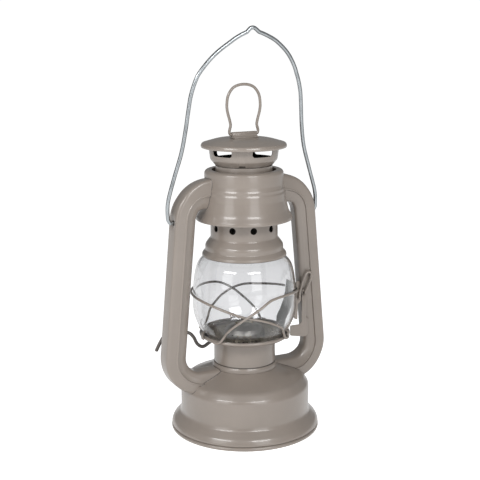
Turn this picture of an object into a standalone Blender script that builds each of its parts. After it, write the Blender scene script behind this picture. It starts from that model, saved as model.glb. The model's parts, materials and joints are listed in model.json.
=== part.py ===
"""Hurricane lantern, built from separate pieces on one vertical axis.

Millimetres until a mesh is made, +Z up, origin at the middle of the face it rests on.
The two side tubes stand on the X axis; the thumb lever is on the +X side.
"""
from math import acos, atan2, cos, hypot, pi, radians, sin, tan

import bmesh
import bpy
from mathutils import Vector

MM = 0.001
ROUND = 24                    # facets round a turned piece, a multiple of 4
GAP = 0.3                     # between meshes that touch
SHEET = 0.6                   # sheet metal

# fount and collar
BASE_R = 54.15
WALL_R = 46.8
SKIRT_TOP = 14.8
SHOULDER_Z = 37.5
DOME_SLOPE = 0.352
COLLAR_R = 22.35
COLLAR_BOTTOM, COLLAR_TOP = 44.3, 67.4
RING_R = 25.5
FUEL_PLATE_Z = 27.0
FILLER_ANGLE, FILLER_OFFSET, FILLER_R = radians(75.0), 36.0, 8.0

# globe and its plate
PLATE_R, PLATE_Z = 33.0, 68.6
GLOBE_BOTTOM, GLOBE_TOP = 69.8, 132.4
GLOBE_OUTLINE = [(29.5, GLOBE_BOTTOM), (30.0, 71.2), (32.4, 75.3), (35.4, 81.6), (37.1, 88.5),
                 (37.4, 96.0), (37.0, 106.0), (36.0, 114.5), (34.3, 121.5), (31.9, 125.6),
                 (29.3, 127.9), (27.5, 129.6), (27.1, GLOBE_TOP)]
GLASS = 1.7

# chimney, from its bottom flange to the hood
CROWN_LIP_R, CROWN_LIP_Z = 30.4, 128.6
CROWN_BOWL_R, CROWN_R, CROWN_TOP = 28.1, 24.0, 170.0
NECK_R, NECK_TOP = 20.2, 193.4
HOLES, HOLE_R, HOLE_Z, HOLE_START = 10, 2.4, 150.0, radians(8.0)
WINDOWS = [(-155.5, 201.2), (-82.5, 201.2), (24.5, 197.9), (97.5, 197.9)]   # middle, low edge
WINDOW_HALF, WINDOW_HIGH = radians(20.0), 207.0
HOOD_R, HOOD_LOW, HOOD_TOP = 30.4, 206.6, 212.9
EYE_Z, EYE_R, EYE_BORE, EYE_HALF = 215.1, 1.8, 1.3, 9.4
RING_WIRE = 1.0

# canopy over the crown
CANOPY_R, CANOPY_TOP, CANOPY_HOLE_R = 28.1, 190.5, 22.7
CANOPY_RIM_R, CANOPY_LOW = 34.5, 155.0
SPRING_R, SPRING_WIRE, SPRING_TURNS = 23.5, 0.6, 3

# side tubes: centre line and section
BEND_R = 19.2
LOWER_BEND, UPPER_BEND = (37.0, 58.3), (28.0, 156.5)
TUBE_HALF_DEEP, TUBE_HALF_WIDE = 8.0, 7.3
TUBE_END_X = 20.0

# bail
BAIL_Z, BAIL_LEAN, BAIL_WIRE = 156.3, radians(4.5), 1.4
BAIL_PIN_X, BAIL_HOLE_R = 51.0, 1.8
BAIL_SWAY, BAIL_PEAK_SWAY = -2.8, 3.2   # the arch stands a little to one side low down, to the other on top

# globe lift
LEVER_Y, LEVER_WIRE = -8.8, 1.0
PIVOT = (45.6, 95.5)
CRANK, CRANK_START = 5.4, radians(207.0)
PIN_HOLE_R = 1.3
STRAP_FOOT, STRAP_HEAD, STRAP_HALF = radians(4.0), radians(-7.0), radians(11.5)
PLATE_Y = (-7.1, -6.4)        # lift strap tab and lever bracket share this layer

# burner
WICK_ANGLE = radians(160.0)   # the crank leaves the collar this way
CRANK_Z, CRANK_WIRE, WHEEL_R, WICK_HALF = 64.8, 1.25, 2.2, 1.0
CRANK_SIDE = WICK_HALF + WHEEL_R + 0.1


# ---------- plain geometry ----------

def rounded(corners, steps=2):
    """Corner list (a, b) or (a, b, fillet radius); a fillet becomes an arc of that many steps."""
    line = []
    for i, corner in enumerate(corners):
        if len(corner) == 2:
            line.append(corner)
            continue
        here = Vector(corner[:2])
        back = (Vector(corners[i - 1][:2]) - here).normalized()
        ahead = (Vector(corners[(i + 1) % len(corners)][:2]) - here).normalized()
        half = acos(max(-1.0, min(1.0, back.dot(ahead)))) / 2
        reach = corner[2] / tan(half)
        middle = here + (back + ahead).normalized() * corner[2] / sin(half)
        start, end = here + back * reach - middle, here + ahead * reach - middle
        first = atan2(start.y, start.x)
        sweep = (atan2(end.y, end.x) - first + pi) % (2 * pi) - pi
        for k in range(steps + 1):
            angle = first + sweep * k / steps
            line.append((middle.x + corner[2] * cos(angle), middle.y + corner[2] * sin(angle)))
    return line


def inset(line, depth):
    """Line moved to its left by depth, with mitred corners."""
    normals = []
    for (a, b), (c, d) in zip(line, line[1:]):
        length = hypot(c - a, d - b)
        normals.append(Vector((-(d - b) / length, (c - a) / length)))
    moved = []
    for (a, b), before, after in zip(line, [normals[0]] + normals, normals + [normals[-1]]):
        shift = (before + after) * depth / (1 + before.dot(after))
        moved.append((max(0.0, a + shift.x), b + shift.y))
    return moved


def sheet(corners, thickness=SHEET, steps=2):
    """Closed outline of a sheet whose outer side has these corners, read from bottom to top."""
    return rounded(corners, steps) + inset(rounded(corners, 1), thickness)[::-1]


def smooth(points, per_span=4, closed=False):
    """Catmull-Rom curve through the points."""
    points = [Vector(p) for p in points]
    count = len(points)
    line = []
    for i in range(count if closed else count - 1):
        if closed:
            a, b, c, d = (points[(i + k) % count] for k in (-1, 0, 1, 2))
        else:
            a, b, c, d = (points[min(max(i + k, 0), count - 1)] for k in (-1, 0, 1, 2))
        for k in range(per_span):
            t = k / per_span
            line.append(0.5 * (2 * b + (c - a) * t + (2 * a - 5 * b + 4 * c - d) * t * t
                               + (3 * b - a - 3 * c + d) * t ** 3))
    return line if closed else line + [points[-1]]


def globe_radius(height):
    """Outer radius of the glass at a height."""
    for (r0, z0), (r1, z1) in zip(GLOBE_OUTLINE, GLOBE_OUTLINE[1:]):
        if height <= z1:
            return r0 + (r1 - r0) * max(0.0, height - z0) / (z1 - z0)
    return GLOBE_OUTLINE[-1][0]


def dome_height(radius):
    """Height of the fount's sloping top."""
    return SHOULDER_Z + DOME_SLOPE * (WALL_R - radius)


def polar(radius, angle, height=0.0):
    return (radius * cos(angle), radius * sin(angle), height)


# ---------- objects ----------

def clear_scene():
    for thing in list(bpy.data.objects):
        bpy.data.objects.remove(thing, do_unlink=True)


def material(name, colour, roughness, metallic=0.0, alpha=1.0):
    made = bpy.data.materials.new(name)
    made.use_nodes = True
    shader = made.node_tree.nodes["Principled BSDF"]
    shader.inputs["Base Color"].default_value = (*colour, 1.0)
    shader.inputs["Roughness"].default_value = roughness
    shader.inputs["Metallic"].default_value = metallic
    shader.inputs["Alpha"].default_value = alpha
    return made


def finish(name, mesh, finish_material, smooth_angle=35.0):
    """Object from a bmesh in millimetres."""
    bmesh.ops.recalc_face_normals(mesh, faces=mesh.faces)
    bmesh.ops.scale(mesh, vec=(MM, MM, MM), verts=mesh.verts)
    data = bpy.data.meshes.new(name)
    mesh.to_mesh(data)
    mesh.free()
    data.shade_smooth()
    data.set_sharp_from_angle(angle=radians(smooth_angle))
    made = bpy.data.objects.new(name, data)
    if finish_material:
        data.materials.append(finish_material)
    bpy.context.collection.objects.link(made)
    return made


def add_turned(mesh, outline, segments=ROUND, centre=(0.0, 0.0)):
    """Closed (radius, height) outline turned about a vertical line."""
    rings = []
    for radius, height in outline:
        if radius < 1e-6:
            rings.append([mesh.verts.new((*centre, height))] * segments)
        else:
            angles = [2 * pi * k / segments for k in range(segments)]
            rings.append([mesh.verts.new((centre[0] + radius * cos(a), centre[1] + radius * sin(a),
                                          height)) for a in angles])
    for low, high in zip(rings, rings[1:] + rings[:1]):
        for k in range(segments):
            n = (k + 1) % segments
            corners = list(dict.fromkeys((low[k], low[n], high[n], high[k])))
            if len(corners) > 2:
                mesh.faces.new(corners)


def turned(name, outline, finish_material, segments=ROUND, centre=(0.0, 0.0)):
    mesh = bmesh.new()
    add_turned(mesh, outline, segments, centre)
    return finish(name, mesh, finish_material)


def add_prism(mesh, outline, start, end, spot):
    """Flat outline (a, b) carried from start to end; spot(a, b, level) places a corner."""
    low = [mesh.verts.new(spot(a, b, start)) for a, b in outline]
    high = [mesh.verts.new(spot(a, b, end)) for a, b in outline]
    mesh.faces.new(low)
    mesh.faces.new(high)
    for k in range(len(outline)):
        n = (k + 1) % len(outline)
        mesh.faces.new((low[k], low[n], high[n], high[k]))


def prism(name, outline, start, end, finish_material, spot):
    mesh = bmesh.new()
    add_prism(mesh, outline, start, end, spot)
    return finish(name, mesh, finish_material)


def along_y(a, b, level):
    return (a, level, b)


def along_x(a, b, level):
    return (level, a, b)


def along_z(a, b, level):
    return (a, b, level)


def circle(radius, steps=12, centre=(0.0, 0.0)):
    return [(centre[0] + radius * cos(2 * pi * k / steps), centre[1] + radius * sin(2 * pi * k / steps))
            for k in range(steps)]


def wire(name, points, radius, finish_material, closed=False, detail=2):
    """Round wire along the points."""
    data = bpy.data.curves.new(name, "CURVE")
    data.dimensions = "3D"
    data.bevel_depth = radius * MM
    data.bevel_resolution = detail
    data.use_fill_caps = not closed
    spline = data.splines.new("POLY")
    spline.points.add(len(points) - 1)
    for target, point in zip(spline.points, points):
        target.co = (*(Vector(point) * MM), 1.0)
    spline.use_cyclic_u = closed
    data.materials.append(finish_material)
    made = bpy.data.objects.new(name, data)
    bpy.context.collection.objects.link(made)
    return made


def cut(target, cutter):
    """Take the cutter's shape out of the target."""
    cutter.hide_render = True
    cutter.display_type = "WIRE"
    modifier = target.modifiers.new("cut " + cutter.name, "BOOLEAN")
    modifier.operation = "DIFFERENCE"
    modifier.solver = "EXACT"
    modifier.object = cutter


def body(name, origin, *pieces):
    """Empty on a joint's axis that carries the pieces that move with it."""
    handle = bpy.data.objects.new(name, None)
    handle.location = Vector(origin) * MM
    bpy.context.collection.objects.link(handle)
    for piece in pieces:
        piece.location -= handle.location
        piece.parent = handle
    return handle


# ---------- fount ----------

def fount_corners():
    """Outer side of the drawn fount shell, from the resting bead up to the collar."""
    mouth = COLLAR_R + GAP + SHEET
    return [(52.4, 0.0), (BASE_R, 0.0, 0.9), (BASE_R, 2.7, 0.5), (53.9, 3.1), (52.7, 7.4, 16.0),
            (WALL_R, SKIRT_TOP, 0.9), (WALL_R, SHOULDER_Z, 10.0), (mouth, dome_height(mouth))]


def make_fount(paint, steel, brass, rubber, bores):
    shell = turned("fount_shell", sheet(fount_corners()), paint)
    for bore in bores:
        cut(shell, bore)
    inner = BASE_R - SHEET - GAP - 1.0
    turned("fount_bottom", [(0, 1.4), (inner - 3, 1.4), (inner, 0.9), (inner, 1.6), (inner - 3, 2.2),
                            (0, 2.2)], steel)
    rim = WALL_R - SHEET - GAP
    turned("fuel_plate", [(13.0, FUEL_PLATE_Z), (rim, FUEL_PLATE_Z), (rim, FUEL_PLATE_Z + 3),
                          (rim - SHEET, FUEL_PLATE_Z + 3), (rim - SHEET, FUEL_PLATE_Z + SHEET),
                          (13.0, FUEL_PLATE_Z + SHEET)], steel)

    centre = polar(FILLER_OFFSET, FILLER_ANGLE)[:2]
    hole = turned("filler hole", [(0, FUEL_PLATE_Z - 5), (FILLER_R + GAP, FUEL_PLATE_Z - 5),
                                  (FILLER_R + GAP, 60), (0, 60)], None, 16, centre)
    cut(shell, hole)
    cut(bpy.data.objects["fuel_plate"], hole)
    turned("filler_neck", [(FILLER_R - SHEET, FUEL_PLATE_Z - 1), (FILLER_R, FUEL_PLATE_Z - 1),
                           (FILLER_R, 48.6), (FILLER_R - SHEET, 48.6)], brass, 16, centre)
    gasket = turned("filler_gasket", [(5.0, 48.9), (FILLER_R, 48.9), (FILLER_R, 50.1), (5.0, 50.1)],
                    rubber, 16, centre)
    cap = turned("filler_cap", rounded([(0, 50.4), (8.4, 50.4), (8.4, 45.4), (9.9, 45.4),
                                        (9.9, 52.0, 1.2), (0, 52.0)]), brass, 16, centre)
    body("filler_gasket_slide", (*centre, 49.5), gasket)
    body("filler_cap_turn", (*centre, 49.5), cap)


def make_collar(paint):
    """Air collar between fount and globe plate, and the bead ring round its foot."""
    collar = turned("air_collar", [(COLLAR_R - SHEET, COLLAR_BOTTOM), (COLLAR_R, COLLAR_BOTTOM),
                                   (COLLAR_R, COLLAR_TOP), (COLLAR_R - SHEET, COLLAR_TOP)], paint)
    low = dome_height(COLLAR_R + GAP) + GAP
    turned("collar_ring", rounded([(COLLAR_R + GAP, low), (RING_R, dome_height(RING_R) + GAP, 1.0),
                                   (RING_R, 48.9, 1.3), (COLLAR_R + GAP, 49.3)]), paint)
    return collar


# ---------- burner ----------

def wick_frame(along, side, height):
    """Point given along the crank's direction, to its +Y side, and by height."""
    u, v = cos(WICK_ANGLE), sin(WICK_ANGLE)
    return (along * u + side * v, along * v - side * u, height)


def make_burner(collar, steel, brass, cotton):
    turned("burner_body", sheet([(8.5, 31.0), (12.0, 31.0), (12.0, 52.0), (21.3, 52.0), (21.3, 54.0)]),
           brass)
    turned("burner_seat", [(9.5, 28.2), (14.5, 28.2), (14.5, 30.7), (9.5, 30.7)], steel)
    box = [(-7.3, -3.1), (7.3, -3.1), (7.3, 3.1), (-7.3, 3.1)]
    gallery = turned("burner_gallery", [(0, 67.2), (21.3, 67.2), (21.3, 67.8), (0, 67.8)], steel)
    cone = turned("burner_cone", sheet([(14.6, 68.1), (14.2, 73.5, 4.0), (7.0, 78.6, 6.0),
                                        (0.0, 79.4)]), steel, 16)
    slot = prism("cone slot", box, 60.0, 85.0, None, lambda a, b, c: wick_frame(a, b, c))
    cut(gallery, slot)
    cut(cone, slot)

    def oblong(half_wide, half_thick):
        return rounded([(-half_wide, -half_thick, 0.9), (half_wide, -half_thick, 0.9),
                        (half_wide, half_thick, 0.9), (-half_wide, half_thick, 0.9)], 1)

    mesh = bmesh.new()
    for size, turn in ((oblong(6.3, 2.0), 1), (oblong(5.7, 1.4), -1)):
        low = [mesh.verts.new(wick_frame(a, b, 31.6)) for a, b in size]
        high = [mesh.verts.new(wick_frame(a, b, 77.0)) for a, b in size]
        for k in range(len(size)):
            n = (k + 1) % len(size)
            mesh.faces.new((low[k], low[n], high[n], high[k])[::turn])
        if turn == 1:
            outer = (low, high)
        else:
            for first, second in zip(outer, (low, high)):
                for k in range(len(size)):
                    n = (k + 1) % len(size)
                    mesh.faces.new((first[k], first[n], second[n], second[k]))
    tube = finish("wick_tube", mesh, brass)
    wick = prism("wick", oblong(5.2, WICK_HALF), 8.0, 78.2, cotton, wick_frame)

    # two toothed wheels on the crank press on the wick through windows in its tube
    teeth, wheel_half, wheel_at = 10, 0.5, (-2.6, 2.6)
    outline = []
    for k in range(2 * teeth):
        reach = WHEEL_R if k % 2 == 0 else WHEEL_R - 0.4
        outline.append((CRANK_SIDE + reach * cos(pi * k / teeth), CRANK_Z + reach * sin(pi * k / teeth)))
    bore = circle(CRANK_WIRE + 0.15, 2 * teeth, (CRANK_SIDE, CRANK_Z))
    wheels = []
    for k, at in enumerate(wheel_at):
        mesh = bmesh.new()
        add_ring_prism(mesh, outline, bore, at - wheel_half, at + wheel_half,
                       lambda a, b, c: wick_frame(c, a, b))
        wheels.append(finish(f"wick_wheel_{k + 1}", mesh, brass))
    for at in wheel_at:
        window = prism("wheel window", [(1.0, CRANK_Z - 2.9), (3.0, CRANK_Z - 2.9), (3.0, CRANK_Z + 2.9),
                                        (1.0, CRANK_Z + 2.9)], at - 1.0, at + 1.0, None,
                       lambda a, b, c: wick_frame(c, a, b))
        cut(tube, window)

    route = [(-5.0, CRANK_Z), (8.0, CRANK_Z), (21.5, CRANK_Z), (25.5, 62.4), (30.4, 59.4), (34.4, 61.6),
             (37.2, 67.0), (40.8, 70.3), (47.0, 70.8), (54.5, 70.4), (58.6, 68.2), (61.6, 63.4),
             (64.4, 57.6)]
    line = [(-5.0, CRANK_Z)] + [tuple(p) for p in smooth(route[1:], 3)]
    crank = wire("wick_crank", [wick_frame(a, CRANK_SIDE, z) for a, z in line], CRANK_WIRE, steel)
    hole = prism("crank hole", circle(CRANK_WIRE + 0.5, 12, (CRANK_SIDE, CRANK_Z)), 15.0, 28.0, None,
                 lambda a, b, c: wick_frame(c, a, b))
    cut(collar, hole)
    body("wick_crank_turn", wick_frame(0.0, CRANK_SIDE, CRANK_Z), crank, *wheels)
    body("wick_slide", (0.0, 0.0, CRANK_Z), wick)


def add_ring_prism(mesh, outline, bore, start, end, spot):
    """Flat ring between an outline and a bore with as many corners, carried from start to end."""
    levels = [[[mesh.verts.new(spot(a, b, level)) for a, b in loop] for loop in (outline, bore)]
              for level in (start, end)]
    for k in range(len(outline)):
        n = (k + 1) % len(outline)
        for outer, inner in levels:
            mesh.faces.new((outer[k], outer[n], inner[n], inner[k]))
        for low, high in zip(*levels):
            mesh.faces.new((low[k], low[n], high[n], high[k]))


# ---------- globe, its plate and guard ----------

def make_globe(paint, glass):
    globe = turned("globe", sheet(GLOBE_OUTLINE, GLASS), glass)
    plate = turned("globe_plate", rounded([(15.4, PLATE_Z), (PLATE_R, PLATE_Z, 1.3), (PLATE_R, 71.9, 1.2),
                                           (30.7, 71.9, 0.5), (30.0, PLATE_Z + SHEET),
                                           (15.4, PLATE_Z + SHEET)]), paint)
    clip_half, clip_reach = radians(3.0), PLATE_R + 1.0
    corners = [(PLATE_R + GAP, 69.4), (clip_reach, 69.4), (clip_reach, 75.4), (PLATE_R + GAP, 75.4)]
    clips = [prism(f"globe_clip_{k + 1}", corners, angle - clip_half, angle + clip_half, paint,
                   lambda a, b, c: polar(a, c, b))
             for k, angle in enumerate((radians(180), radians(80), radians(-48)))]
    return [globe, plate, *clips]


def guard_point(degrees, height, lift=0.0):
    """Centre of a guard wire that hugs the glass."""
    radius = max(globe_radius(height), PLATE_R) + 1.3 + lift
    return polar(radius, radians(degrees), height)


def make_guard(paint):
    """Wire loop that rises to the left, and two wires that rise from the rim to the lift strap."""
    lower = [(-52, 70.9), (-59, 72.0), (-68, 80.0), (-94, 88.6), (-116, 92.2), (-138, 96.6), (-160, 99.8),
             (-182, 101.2), (-205, 101.8), (-232, 101.8), (-256, 101.0), (-270, 98.6), (-283, 93.6),
             (-294, 87.6), (-304, 82.0), (-313, 76.6), (-318, 71.6), (-324, 70.9)]
    front = [(-156, 70.9), (-147, 71.6), (-136, 80.0), (-122, 88.4), (-111, 93.8), (-100, 98.6),
             (-87, 103.2), (-70, 104.6), (-48, 104.0), (-32, 102.8), (-20.5, 102.2)]
    back = [(9.5, 99.9), (24, 98.9), (45, 97.6), (66, 96.0), (82, 92.0), (99, 86.0), (113, 80.0),
            (124, 73.8), (131, 71.0), (137, 70.9)]

    def over(degrees, centre, half):
        """Smooth step out, to pass over another piece."""
        reach = abs((degrees - centre + 180) % 360 - 180) / half
        return max(0.0, 1 - reach * reach) ** 2 if reach < 1 else 0.0

    made = []
    for name, route, bumps in (("guard_wire_lower", lower, []),
                               ("guard_wire_front", front, [(-114, 26, 2.3)]),
                               ("guard_wire_back", back, [(74, 26, 2.3)])):
        points = []
        for p in smooth([(a, z, 0.0) for a, z in route], 3):
            lift = max([size * over(p.x, at, half) ** 0.5 for at, half, size in bumps], default=0.0)
            points.append(guard_point(p.x, p.y, lift))
        made.append(wire(name, points, 0.9, paint, detail=1))
    return made


# ---------- globe lift ----------

def lift_pin():
    return (PIVOT[0] + CRANK * cos(CRANK_START), PIVOT[1] + CRANK * sin(CRANK_START))


def make_lift(paint):
    """Strap that carries the plate, fixed bracket on the tube, and thumb lever between them."""
    mesh = bmesh.new()
    heights = [69.2, 72.4, 75.5, 80.0, 85.0, 90.0, 96.0, 102.0, 105.6]
    columns = [-1.0, -0.33, 0.33, 1.0]
    layers = []
    for thickness in (0.0, 0.7):
        grid = []
        for z in heights:
            middle = STRAP_FOOT + (STRAP_HEAD - STRAP_FOOT) * max(0.0, z - 78.0) / 26.0
            radius = max(globe_radius(z) + 0.7, PLATE_R + GAP) + thickness
            grid.append([mesh.verts.new(polar(radius, middle + STRAP_HALF * c, z)) for c in columns])
        layers.append(grid)
    inner, outer = layers
    rows, cols = len(heights), len(columns)
    for i in range(rows - 1):
        for j in range(cols - 1):
            for grid in layers:
                mesh.faces.new((grid[i][j], grid[i][j + 1], grid[i + 1][j + 1], grid[i + 1][j]))
        for j in (0, cols - 1):
            mesh.faces.new((inner[i][j], inner[i + 1][j], outer[i + 1][j], outer[i][j]))
    for i in (0, rows - 1):
        for j in range(cols - 1):
            mesh.faces.new((inner[i][j], inner[i][j + 1], outer[i][j + 1], outer[i][j]))
    strap = finish("lift_strap", mesh, paint)

    pin = lift_pin()
    middle = (pin[0] + PIVOT[0] - CRANK) / 2
    tab = prism("lift_tab", [(37.2, 77.5), (40.2, 76.0), (40.4, 88.0), (43.0, 90.6), (43.0, 100.5),
                             (41.6, 105.4), (38.8, 105.4), (38.8, 88.0)],
                *PLATE_Y, paint, along_y)
    slot_half = (pin[0] - PIVOT[0] + CRANK) / 2 + PIN_HOLE_R
    slot = prism("tab slot", rounded([(middle - slot_half, pin[1] - PIN_HOLE_R, 0.9),
                                      (middle + slot_half, pin[1] - PIN_HOLE_R, 0.9),
                                      (middle + slot_half, pin[1] + PIN_HOLE_R, 0.9),
                                      (middle - slot_half, pin[1] + PIN_HOLE_R, 0.9)]),
                 -9.0, -4.0, None, along_y)
    cut(tab, slot)

    bracket = prism("lever_bracket", [(34.2, 64.6), (49.0, 61.8), (49.6, 75.8), (47.4, 77.0), (47.6, 99.0),
                                      (44.0, 99.0), (43.8, 74.0), (42.2, 72.4), (34.2, 72.4)],
                    *PLATE_Y, paint, along_y)
    hole = prism("pivot hole", circle(PIN_HOLE_R, 12, PIVOT), -12.0, -4.0, None, along_y)
    cut(bracket, hole)

    level = LEVER_Y
    back = -5.0
    loop = [(pin[0], level, pin[1] + 2.2), (41.6, level, 99.6), (43.4, level, 105.4), (45.8, level, 110.4),
            (48.6, level, 112.0), (50.6, level, 109.6), (49.4, level, 105.0), (47.2, level, 100.4),
            (PIVOT[0], level, PIVOT[1] + 2.0)]
    line = ([(pin[0], back, pin[1]), (pin[0], level + 1.0, pin[1]), (pin[0], level, pin[1] + 1.0)]
            + smooth(loop, 3)
            + [(PIVOT[0], level, PIVOT[1] + 1.0), (PIVOT[0], level + 1.0, PIVOT[1]),
               (PIVOT[0], back, PIVOT[1])])
    lever = wire("lift_lever", line, LEVER_WIRE, paint)
    body("lift_lever_turn", (PIVOT[0], 0.0, PIVOT[1]), lever)
    return strap, tab


# ---------- chimney ----------

def make_chimney(paint):
    crown = turned("crown", sheet([(CROWN_LIP_R, CROWN_LIP_Z), (CROWN_LIP_R, CROWN_LIP_Z + SHEET, 0.4),
                                   (CROWN_BOWL_R, 132.4, 1.0), (CROWN_BOWL_R, 137.2, 4.0),
                                   (CROWN_R, 141.8, 1.6), (CROWN_R, CROWN_TOP, 2.6),
                                   (NECK_R + GAP, CROWN_TOP + SHEET)]), paint)
    mesh = bmesh.new()
    for k in range(HOLES):
        angle = HOLE_START + 2 * pi * k / HOLES
        across = (-sin(angle), cos(angle))
        add_prism(mesh, circle(HOLE_R, 10), CROWN_R - 3, CROWN_R + 3,
                  lambda a, b, c: (c * cos(angle) + a * across[0], c * sin(angle) + a * across[1],
                                   HOLE_Z + b))
    cut(crown, finish("crown holes", mesh, None))

    neck = turned("chimney_neck", [(NECK_R - SHEET, CROWN_TOP - 4), (NECK_R, CROWN_TOP - 4),
                                   (NECK_R, NECK_TOP), (NECK_R - SHEET, NECK_TOP)], paint)
    windows = turned("window_ring", sheet([(18.4, NECK_TOP + GAP), (20.6, NECK_TOP + GAP, 0.4),
                                           (23.7, 197.6, 3.0), (24.9, 206.5), (25.2, 209.8)]), paint)
    mesh = bmesh.new()
    steps = 4
    for middle, low in WINDOWS:
        angles = [radians(middle) + WINDOW_HALF * (2 * s / steps - 1) for s in range(steps + 1)]
        edge = ([(a, low) for a in angles[1:-1]] + [(angles[-1], low + 2.0)]
                + [(a, WINDOW_HIGH) for a in reversed(angles)] + [(angles[0], low + 2.0)])
        inside = [mesh.verts.new(polar(19.0, a, z)) for a, z in edge]
        outside = [mesh.verts.new(polar(29.0, a, z)) for a, z in edge]
        mesh.faces.new(inside)
        mesh.faces.new(outside)
        for i in range(len(edge)):
            n = (i + 1) % len(edge)
            mesh.faces.new((inside[i], inside[n], outside[n], outside[i]))
    bmesh.ops.triangulate(mesh, faces=[f for f in mesh.faces if len(f.verts) > 4])
    cut(windows, finish("window cutter", mesh, None))

    hood = turned("hood", sheet([(HOOD_R - 0.9, HOOD_LOW), (HOOD_R, HOOD_LOW + 0.3, 0.5),
                                 (HOOD_R, 209.2, 1.0), (18.0, 212.4, 30.0), (0.0, HOOD_TOP)]), paint)
    outer = [(-3.4, 213.25), (3.4, 213.25), (3.4, 213.8), (1.4, 213.8)] + [
        (EYE_R * cos(radians(a)), EYE_Z + EYE_R * sin(radians(a))) for a in range(-30, 211, 30)] + [
        (-1.4, 213.8), (-3.4, 213.8)]
    tab = prism("ring_tab", outer, -EYE_HALF, EYE_HALF, paint, along_x)
    cut(tab, prism("eye bore", circle(EYE_BORE, 12, (0.0, EYE_Z)), -15.0, 15.0, None, along_x))

    side = [(11.2, EYE_Z + 1.6), (11.0, 218.4), (10.2, 221.6), (11.0, 225.6), (12.5, 231.0),
            (12.95, 236.0), (11.9, 242.2), (8.4, 247.2), (3.2, 249.4)]
    loop = ([(x, z) for x, z in side] + [(-x, z) for x, z in reversed(side)])
    arch = [(p.x, 0.0, p.y) for p in smooth([(x, z, 0.0) for x, z in loop], 2)]
    base = [(-10.6, 0.0, EYE_Z + 0.2), (-9.9, 0.0, EYE_Z), (0.0, 0.0, EYE_Z), (9.9, 0.0, EYE_Z),
            (10.6, 0.0, EYE_Z + 0.2)]
    ring = wire("lift_ring", arch + base, RING_WIRE, paint, closed=True, detail=1)
    body("lift_ring_turn", (0.0, 0.0, EYE_Z), ring)
    return crown, neck, windows, hood, tab


# ---------- canopy and side tubes ----------

def canopy_corners():
    """Outer side of the canopy, from its flared rim up to the hole in its top."""
    return [(CANOPY_RIM_R, CANOPY_LOW), (34.3, 157.4, 1.0), (31.5, 164.4, 6.0), (29.5, 170.6, 8.0),
            (29.1, 175.4, 0.8), (CANOPY_R, 176.8, 0.5), (CANOPY_R, CANOPY_TOP, 3.4),
            (CANOPY_HOLE_R, CANOPY_TOP)]


def make_canopy(paint, steel, bores):
    canopy = turned("canopy", sheet(canopy_corners()), paint)
    for bore in bores:
        cut(canopy, bore)
    low, high = CROWN_TOP + 0.9 + SPRING_WIRE, CANOPY_TOP - SHEET - GAP - SPRING_WIRE
    steps = 12 * SPRING_TURNS
    coil = [polar(SPRING_R, 2 * pi * k / 12, low + (high - low) * k / steps) for k in range(steps + 1)]
    wire("chimney_spring", coil, SPRING_WIRE, steel, detail=1)


def tube_route():
    """Centre line (x, z, heading) of the right side tube, from the fount to the canopy."""
    lean = (LOWER_BEND[0] - UPPER_BEND[0]) / (UPPER_BEND[1] - LOWER_BEND[1])
    tilt = atan2(lean, 1.0)
    steps = 6
    route = [(TUBE_END_X, LOWER_BEND[1] - BEND_R, 0.0), (LOWER_BEND[0] - 6.0, LOWER_BEND[1] - BEND_R, 0.0)]
    for k in range(steps + 1):
        turn = (pi / 2 + tilt) * k / steps
        route.append((LOWER_BEND[0] + BEND_R * sin(turn), LOWER_BEND[1] - BEND_R * cos(turn), turn))
    for k in range(steps + 1):
        turn = pi / 2 + tilt + (pi / 2 - tilt) * k / steps
        route.append((UPPER_BEND[0] + BEND_R * sin(turn), UPPER_BEND[1] - BEND_R * cos(turn), turn))
    route.append((TUBE_END_X, UPPER_BEND[1] + BEND_R, pi))
    return route


def tube_rings(side, shrink, end_x=TUBE_END_X):
    """Section corners at each stop of the centre line, made smaller by shrink all round."""
    half = [(-1.0, 0.62), (-0.84, 0.95), (0.0, 1.0), (0.1, 0.88), (0.72, 0.72), (1.0, 0.38)]
    section = half + [(u, -w) for u, w in reversed(half)]
    rings = []
    for x, z, turn in tube_route():
        x = max(x, end_x)
        foot = max(0.0, 1 - turn / radians(70))
        top = max(0.0, (turn - radians(130)) / radians(50))
        z -= 1.2 * top
        deep = TUBE_HALF_DEEP + 3.0 * top - shrink
        wide = TUBE_HALF_WIDE + 2.8 * foot - 1.0 * top - shrink
        low = sin(turn), -cos(turn)
        rings.append([(side * (x - low[0] * u * deep), w * wide, z - low[1] * u * deep)
                      for u, w in section])
    return rings


def add_rings(mesh, rings):
    """Skin through rings with the same number of corners; returns the rings of vertices."""
    made = [[mesh.verts.new(p) for p in ring] for ring in rings]
    for low, high in zip(made, made[1:]):
        for k in range(len(low)):
            n = (k + 1) % len(low)
            mesh.faces.new((low[k], low[n], high[n], high[k]))
    return made


def tube_bore(name, side, end_x):
    """Solid of the air space inside a side tube."""
    mesh = bmesh.new()
    made = add_rings(mesh, tube_rings(side, SHEET, end_x))
    mesh.faces.new(made[0])
    mesh.faces.new(made[-1])
    return finish(name, mesh, None)


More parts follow.
